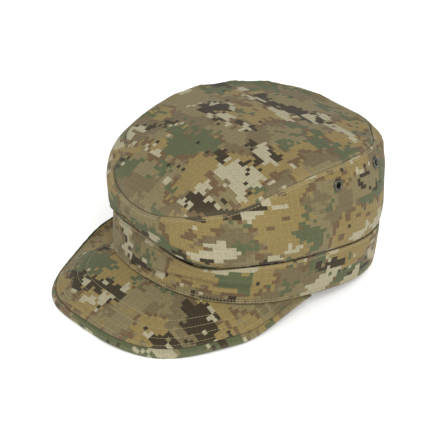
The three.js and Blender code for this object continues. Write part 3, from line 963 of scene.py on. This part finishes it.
foot_levels = np.arange(0, FOOT_ZONE, 0.25)[:, None] / height
levels = np.concatenate([foot_levels, spaced_to_seam(height, 34, 22, 0, FOOT_ZONE)])
foot_shares = np.linspace(WALL_FOOT / BAND_HEIGHT, 1, 8)[:-1, None]
out = outward(angles)
foot = band_point(angles, foot_shares) - out * (BAND_THICKNESS + GAP)
face = wall_cloth(angles, levels)
turn = np.linspace(0, np.pi, 9)[1:, None]
roll = folded(face[-1], SEAM_ROLL, SEAM_RISE, turn)
inner_face = wall_point(angles, np.linspace(1, 0, 16)[1:, None]) - out * WALL_THICKNESS
inner_foot = foot[::-1] - out * WALL_THICKNESS
wall_points = np.concatenate([foot, face, roll, inner_face, inner_foot, foot[:1]])
fold = len(foot) + len(face)
half_roll = fold + len(roll) // 2
bm = sewn_shell(wall_points, flat_strip(wall_points), {
    "inside": on_rows(wall_points, half_roll, len(wall_points)),
    "worn": on_rows(wall_points, fold - WALL_WORN, half_roll + WALL_WORN // 2),
})
wall_piece = finish_piece(bm, "crown_wall_cloth", ripstops["wall"], "crown_wall")

# %% [markdown]
# ## The eyelets
#
# An eyelet is pressed from thin brass: a rolled flange outside, a barrel through the cloth and a
# flat washer inside, blackened and worn dull. Its section is a short line of points, and a full
# spin round the barrel's middle makes it. A Boolean modifier cuts the barrel's hole through the
# wall first, so that the hole is real.

# %% Cut the holes through the wall
HOLE_RADIUS = 2.6
HOLE_LENGTH = 12
HOLE_SIDES = 24


def square_on(middle, facing):
    """The matrix that puts a piece at a place on the wall, its Z axis facing out."""
    turn = Vector(facing).to_track_quat("Z", "Y").to_matrix().to_4x4()
    return Matrix.Translation(Vector(middle)) @ turn


bm = bmesh.new()
for middle, facing in eyelet_places.values():
    bmesh.ops.create_cone(bm, cap_ends=True, segments=HOLE_SIDES, radius1=HOLE_RADIUS, radius2=HOLE_RADIUS,
                          depth=HOLE_LENGTH, matrix=square_on(middle, facing))
bmesh.ops.transform(bm, matrix=STAND, verts=bm.verts)
punch = add_object("eyelet_punch", mesh_from(bm, "eyelet_punch"))
cutting = wall_piece.modifiers.new("eyelet_holes", "BOOLEAN")
cutting.operation = "DIFFERENCE"
cutting.solver = "EXACT"
cutting.object = punch
seen = wall_piece.evaluated_get(bpy.context.evaluated_depsgraph_get())
pierced = bpy.data.meshes.new_from_object(seen)
wall_piece.modifiers.clear()
uncut = wall_piece.data
wall_piece.data = pierced
pierced.name = "crown_wall_cloth"
bpy.data.meshes.remove(uncut)
bpy.data.objects.remove(punch)
print("pierced wall faces:", len(pierced.polygons))

# %% Finish for the eyelets
# Blackened brass is dark and dull, with lighter and rougher patches where the black has worn.
# Object coordinates are in metres, so this gives patches of about 1.1 mm.
PATINA_SCALE = 900


def mottled(name, scale, detail, dark, light):
    """A new material, with the noise that varies it, and its colour between two."""
    material, node = new_material(name)
    place = node("TexCoord").outputs["Object"]
    noise = node("TexNoise", {"Vector": place, "Scale": scale, "Detail": detail})
    colour = node("Mix", {0: noise, 6: linear(dark), 7: linear(light)}, data_type="RGBA")
    return material, node, noise, colour


blackened, node, patina, colour = mottled("blackened_brass", PATINA_SCALE, 3, "#45443e", "#716f65")
rough = node("MapRange", {"Value": patina, "To Min": 0.28, "To Max": 0.5})
metal = node("BsdfPrincipled", {"Base Color": colour, "Metallic": 1.0, "Roughness": rough})
node("OutputMaterial", {"Surface": metal})
print("finish:", blackened.name)

# %% Spin the eyelets
EYELET_SECTION = [
    (2.0, -2.3), (2.0, -0.4), (2.1, 0.35), (2.4, 0.95), (2.9, 1.3), (3.4, 1.38), (3.9, 1.2), (4.3, 0.8),
    (4.5, 0.35), (4.3, 0.1), (2.4, 0.05), (2.4, -1.85), (4.3, -1.9), (4.4, -2.1), (4.3, -2.3),
]
EYELET_SIDES = 32

for name, (middle, facing) in eyelet_places.items():
    bm = bmesh.new()
    line = [bm.verts.new((radius, 0, height)) for radius, height in EYELET_SECTION]
    edges = [bm.edges.new((line[step], line[(step + 1) % len(line)])) for step in range(len(line))]
    bmesh.ops.spin(bm, geom=line + edges, axis=(0, 0, 1), cent=(0, 0, 0), angle=2 * math.pi,
                   steps=EYELET_SIDES, use_merge=True)
    bmesh.ops.remove_doubles(bm, verts=bm.verts, dist=MERGE_DISTANCE)
    bmesh.ops.recalc_face_normals(bm, faces=bm.faces)
    bmesh.ops.transform(bm, matrix=square_on(middle, facing), verts=bm.verts)
    finish_piece(bm, "rolled_" + name, blackened, name)

# %% [markdown]
# ## The band
#
# The band is one strip folded double round the head. Two rows of stitches run along its hem and one
# along its upper edge, and the cloth between them puffs out a little. Where the crown's weight
# presses it, its upper edge slumps and the strip creases along its length. It is a shell like the
# wall, and each crease is a line that dents the cloth beside it.

# %% Shape the band's face
HEM_ROWS = (1.5, 3.4)
EDGE_ROWS = (1.6,)
# The creases: how wide and deep each is, and the angles and heights that it runs through.
BAND_CREASES = [
    (2.2, 1.9, [(356, 4), (8, 7.5), (24, 13), (35, 14.6), (46, 14), (56, 14)]),
    (2.0, 0.7, [(70, 24), (82, 27)]),
    (2.2, 0.5, [(10, 17), (22, 20), (34, 19)]),
    (2.4, 0.5, [(326, 12), (340, 16), (354, 21)]),
    (2.2, 0.4, [(98, 11), (112, 14), (125, 13)]),
    (2.6, 0.5, [(190, 14), (204, 17), (216, 16)]),
    (2.4, 0.5, [(244, 20), (258, 17), (270, 18)]),
]
# Where the slumped crown presses the upper edge down: angle, spread, how far.
BAND_SLUMPS = [(4, 19, 1.1), (37, 9, 1.4)]


def band_tall(angle):
    """The band's height along its slope."""
    return length_of(band_point(angle, 1) - band_point(angle, 0))


def band_cloth(angle, share):
    """The band's outer face with its puff, creases and stitch grooves."""
    up = share * band_tall(angle)
    down = (1 - share) * band_tall(angle)
    puff = 0.55 * np.sin(np.pi * np.clip(share, 0, 1)) ** 0.5
    grooves = grooved(up, HEM_ROWS, 0.34, 0.75) + grooved(down, EDGE_ROWS, 0.3, 0.7)
    puckers = 0.16 * ripple(angle, 120, 17) * (fading(up, 5) + fading(down, 5)) * smoothstep(down, 0, 2)
    waves = 0.35 * handled(angle, share, 19) * np.sin(np.pi * np.clip(share, 0, 1))
    creases = 0 * up
    for width, depth, line in BAND_CREASES:
        beside = from_crease(angle, up, line)
        creases = creases + depth * (felt(beside, width) - 0.45 * felt(beside - 2 * width, width))
    join = 0.6 * near(angle, JOIN_ANGLE, JOIN_WIDTH)
    move = puff - grooves + puckers + waves - creases - join
    slump = sum(far * near(angle, centre, spread) for centre, spread, far in BAND_SLUMPS) * share ** 4
    return lifted(band_point(angle, share) + outward(angle) * move[..., None], -slump)


tall = band_tall(angles)
print("the band's height in mm:", tall.min().round(1), tall.max().round(1))

# %% Sew the band's shell
BAND_ROLL = BAND_THICKNESS / 2
BAND_WORN = 3

# Rows lie closer beside the stitches: heights above the hem, and depths below the upper edge.
low_rows = np.concatenate([np.linspace(0, 5.5, 12), np.linspace(5.5, 12, 6)[1:]])[:, None] / tall
high_rows = 1 - np.concatenate([np.linspace(8, 4.5, 4)[:-1], np.linspace(4.5, 0, 10)])[:, None] / tall
between = blend(low_rows[-1], high_rows[0], np.linspace(0, 1, 8)[1:-1, None])
inset_share = BAND_ROLL / tall
shares = inset_share + (1 - 2 * inset_share) * np.concatenate([low_rows, between, high_rows])
face = band_cloth(angles, shares)
turn = np.linspace(0, np.pi, 7)[1:-1, None]
upper_edge = folded(face[-1], BAND_ROLL, BAND_ROLL, turn)
hem = folded(face[0], BAND_ROLL, -BAND_ROLL, turn)[::-1]
inner_face = band_point(angles, shares[::-3]) - outward(angles) * BAND_THICKNESS
band_points = np.concatenate([face, upper_edge, inner_face, hem, face[:1]])
fold = len(face) + len(turn)
bm = sewn_shell(band_points, flat_strip(band_points), {
    "inside": on_rows(band_points, fold, fold + len(inner_face)),
    "worn": on_rows(band_points, len(face) - BAND_WORN, fold) | on_rows(band_points, 0, BAND_WORN),
})
finish_piece(bm, "band_strip", ripstops["band"], "band")

# %% [markdown]
# ## The peak
#
# The peak's upper ply covers a stiff board. Four rows of stitches hold ply and board together. They
# run round parallel to the rim, and the inner ones end at the band. The ply stops short of the rim
# and dips into the seam with the lower ply.

# %% Shape the peak's face
# The rows' distances in from the rim, at the front and at the sides.
PEAK_ROWS = [(9.5, 9.3), (15.6, 14.6), (24.3, 19.6), (32.4, 25.2)]
RIM_POINTS = 1201

rim_tree = KDTree(RIM_POINTS)
for place, point in enumerate(peak_outer(np.linspace(-1, 1, RIM_POINTS))):
    rim_tree.insert(Vector(point), place)
rim_tree.balance()


def rim_distance(points):
    """How far points lie from the peak's rim, the shortest way."""
    nearest = [rim_tree.find(Vector(point))[2] for point in points.reshape(-1, 3)]
    return np.array(nearest).reshape(points.shape[:-1])


def row_distance(row, share):
    """How far in from the rim a row of stitches runs."""
    return blend(*row, smoothstep(np.abs(share), 0.15, 0.7))


def peak_cloth(share, station):
    """The peak's upper ply, with its stitch grooves and puckers."""
    points = peak_point(share, station)
    inset = rim_distance(points)
    from_hem = station * peak_span(share)
    relief = -grooved(inset, [row_distance(row, share) for row in PEAK_ROWS], 0.3, 0.8)
    relief = relief + 0.22 * ripple(share * 90, 60, 23) * fading(from_hem, 7)
    far_side = smoothstep(-share, 0.45, 0.75)
    relief = relief + 0.5 * far_side * ripple(share * 90, 42, 29) * felt(from_hem - 4, 9)
    relief = relief + 0.2 * handled(share * 90, station, 31)
    return points + peak_normal(share, station) * (relief * peak_taper(share))[..., None]


print("from hem to rim in mm:", rim_distance(peak_inner(0)).round(1))

# %% Sew the upper ply's shell
PEAK_COLUMNS = 400
PEAK_END = 0.998
PLY_WORN = 3
# How far below the peak's face the ply's edge starts, in mm.
EDGE_START = 1.6
even = np.linspace(-PEAK_END, PEAK_END, PEAK_COLUMNS + 1)
peak_shares = blend(even, np.sin(even * np.pi / 2), 0.5)


def peak_below(station, depth):
    """Points of the peak at a depth below its upper face."""
    return peak_point(peak_shares, station) - peak_normal(peak_shares, station) * depth[..., None]


def peak_flat(points):
    """The peak's cloth laid out: forward along each section, from its place on the hem."""
    start = peak_inner(peak_shares)[..., :2]
    way = peak_outer(peak_shares)[..., :2] - start
    way = way / np.maximum(length_of(way), 1)[..., None]
    return start + way * run_length(points)[..., None]


taper = peak_taper(peak_shares)
seam_station = station_in_from_rim(peak_shares, rim_width(peak_shares) + RIM_GAP / 2)
seam_station = np.maximum(seam_station, 0.05)
stations = np.linspace(0, 1, 74)[:, None] * seam_station
seam_depth = 0.2 + 0.9 * smoothstep(-peak_shares, 0.4, 0.65)
edge_dip = seam_depth * fading((seam_station - stations) * peak_span(peak_shares), 0.9) * taper
upper = peak_cloth(peak_shares, stations) - peak_normal(peak_shares, stations) * edge_dip[..., None]
edge = peak_below(seam_station, np.linspace(EDGE_START, BOARD_THICKNESS, 4)[:, None] * taper)
back = np.linspace(1, 0, 12)[1:, None] * seam_station
peak_points = np.concatenate([upper, edge, peak_below(back, BOARD_THICKNESS * taper), upper[:1]])
bm = sewn_shell(peak_points, peak_flat(peak_points), {
    "worn": 0.7 * on_rows(peak_points, len(upper) - PLY_WORN, len(upper) + 1)})
finish_piece(bm, "peak_upper_ply", ripstops["peak"], "peak")

# %% [markdown]
# ## The peak's lower ply
#
# The lower ply covers the board from below. Its edge is rolled up round the board, and shows from
# above as a rim of other print beyond the seam, which widens towards the wearer's left. The grid
# runs out under the board, up inside the seam, over the roll and back along the underside.

# %% Shape the lower ply
ROLL_WORN = 12
# Where the rim is drawn out (or in): share, spread, how far.
RIM_SWELLS = [(-0.3, 0.2, 1.5), (0.3, 0.13, -0.9)]

sheet_top = BOARD_THICKNESS * taper + GAP
sheet_bottom = sheet_top + UNDER_THICKNESS * taper
rim_inside = np.maximum(station_in_from_rim(peak_shares, rim_width(peak_shares)), 0.06)
roll_start = np.maximum(station_in_from_rim(peak_shares, sheet_bottom / 2), 0.1)
lump = 0.12 * ripple(peak_shares * 90, 130, 37)
proud = 0.3 + 0.7 * smoothstep(-peak_shares, 0.4, 0.65)
section = [peak_below(rim_inside * share, sheet_top) for share in np.linspace(0, 1, 9)]
section += [peak_below(rim_inside, sheet_top * share) for share in (0.7, 0.4, 0.22)]
for share in (0.12, 0.3, 0.5, 0.75):
    puff = (proud * math.sin(math.pi * share) - 0.15 * (1 - share) ** 3 + lump) * taper
    section.append(peak_below(blend(rim_inside, roll_start, share), -puff))
roll_row = len(section)
swell = sum(far * felt(peak_shares - middle, spread) for middle, spread, far in RIM_SWELLS)
rim_station = 1 + swell / peak_span(peak_shares)
for turn in np.linspace(0, np.pi, 15):
    depth = sheet_bottom / 2 * (1 - math.cos(turn)) - lump * math.cos(turn)
    section.append(peak_below(blend(roll_start, rim_station, math.sin(turn)), depth))
for share in np.linspace(1, 0, 26)[1:]:
    wave = 0.2 * handled(peak_shares * 90, share, 41)
    section.append(peak_below(roll_start * share, sheet_bottom + wave * taper))
under_points = np.array([*section, section[0]])
bm = sewn_shell(under_points, peak_flat(under_points), {
    "worn": 0.8 * on_rows(under_points, roll_row, roll_row + ROLL_WORN)})
finish_piece(bm, "peak_lower_ply", ripstops["under"], "peak_under")

# %% [markdown]
# ## Stitching
#
# The seams are lockstitched in a light tan thread, the peak's with a finer one. Each stitch is a
# small grain in the groove that it has pressed. A curve with a dash pattern would be quicker, but
# single grains catch the light as real stitches do, and each may turn a little. So a stitch is a
# small stretched sphere, laid along its row and on the cloth.

# %% Sew rows of stitches
# How each is sewn: the thread's width, the stitch's length, and the pitch.
CROWN_SEWING = (0.4, 2.1, 2.55)
PEAK_SEWING = (0.34, 2.5, 2.5)
LOOK_AHEAD = 0.6
STITCH_RISE = 0.1
stitch_draw = np.random.default_rng(47)


def sew_row(path, facing, sewing=CROWN_SEWING):
    """A bmesh with one row of stitches along a path of points."""
    bm = bmesh.new()
    width, stitch, pitch = sewing
    run = run_length(path)
    count = int(run[-1] // pitch)
    middles = (np.arange(count) + 0.5) * run[-1] / count

    def read(values, where):
        """Points or directions of the path, read at some lengths along it."""
        return np.stack([np.interp(where, run, column) for column in values.T], -1)

    ahead = read(path, middles + LOOK_AHEAD) - read(path, middles - LOOK_AHEAD)
    for centre, way, out in zip(read(path, middles), ahead, read(facing, middles)):
        along = Vector(way).normalized()
        side = Vector(out).cross(along).normalized()
        up = along.cross(side)
        along = (along + side * stitch_draw.normal(0, 0.05)).normalized()
        side = up.cross(along).normalized()
        turn = Matrix((side, up, along)).transposed().to_4x4()
        long = stitch * stitch_draw.uniform(0.92, 1.06)
        size = Matrix.Diagonal((width / 2, width / 2, long / 2, 1))
        lie = Matrix.Translation(Vector(centre) + up * STITCH_RISE) @ turn
        bmesh.ops.create_uvsphere(bm, u_segments=6, v_segments=4, radius=1, matrix=lie @ size)
    print("stitches in the row:", count)
    return bm


def join_rows(rows):
    """One bmesh from several. Adding each stitch to one large bmesh would be slower."""
    joined = bmesh.new()
    for bm in rows:
        row = mesh_from(bm, "row")
        joined.from_mesh(row)
        bpy.data.meshes.remove(row)
    return joined


# %% Thread
# Spun polyester is soft and a little fuzzy, so it is half matt with a faint sheen.
# Object coordinates are in metres, so this gives fibres of about 0.7 mm.
FIBRE_SCALE = 1400

thread, node, _, colour = mottled("spun_polyester_thread", FIBRE_SCALE, 2, "#8e8259", "#b4a87f")
strand = node("BsdfPrincipled", {
    "Base Color": colour,
    "Roughness": 0.6,
    "Specular IOR Level": 0.3,
    "Sheen Weight": 0.2,
})
node("OutputMaterial", {"Surface": strand})
print("finish:", thread.name)

# %% Sew the crown and the band
SURFACE_STEPS = (0.5, 0.01)
sewn_angles = np.linspace(181, 539, 1400)


def sew_round(surface, shares):
    """Rows of stitches round the head, each along its shares of a surface's height."""
    return join_rows([
        sew_row(surface(sewn_angles, share), facing_of(surface, sewn_angles, share, SURFACE_STEPS))
        for share in shares])


crown_shares = [1 - row / wall_height(sewn_angles) for row in SEAM_ROWS]
finish_piece(sew_round(wall_cloth, crown_shares), "stitches_crown", thread, None)
sewn_tall = band_tall(sewn_angles)
band_shares = [row / sewn_tall for row in HEM_ROWS] + [1 - row / sewn_tall for row in EDGE_ROWS]
finish_piece(sew_round(band_cloth, band_shares), "stitches_band", thread, None)

# %% Sew the peak
# A row ends where it comes nearer to the hem than this many steps of the search.
HEM_STEPS = 3
sewn_shares = np.linspace(-0.96, 0.96, 900)
steps_out = np.linspace(0, 1, 160)[:, None]
insets = rim_distance(peak_point(sewn_shares, steps_out))

rows = []
for row in PEAK_ROWS:
    short = insets - row_distance(row, sewn_shares)
    crossing = np.argmax(short < 0, axis=0)
    column = np.arange(len(sewn_shares))
    before, after = short[crossing - 1, column], short[crossing, column]
    station = (crossing - 1 + before / (before - after)) / (len(steps_out) - 1)
    kept = crossing > HEM_STEPS
    share, station = sewn_shares[kept], station[kept]
    rows.append(sew_row(peak_cloth(share, station), peak_normal(share, station), PEAK_SEWING))
finish_piece(join_rows(rows), "stitches_peak", thread, None)
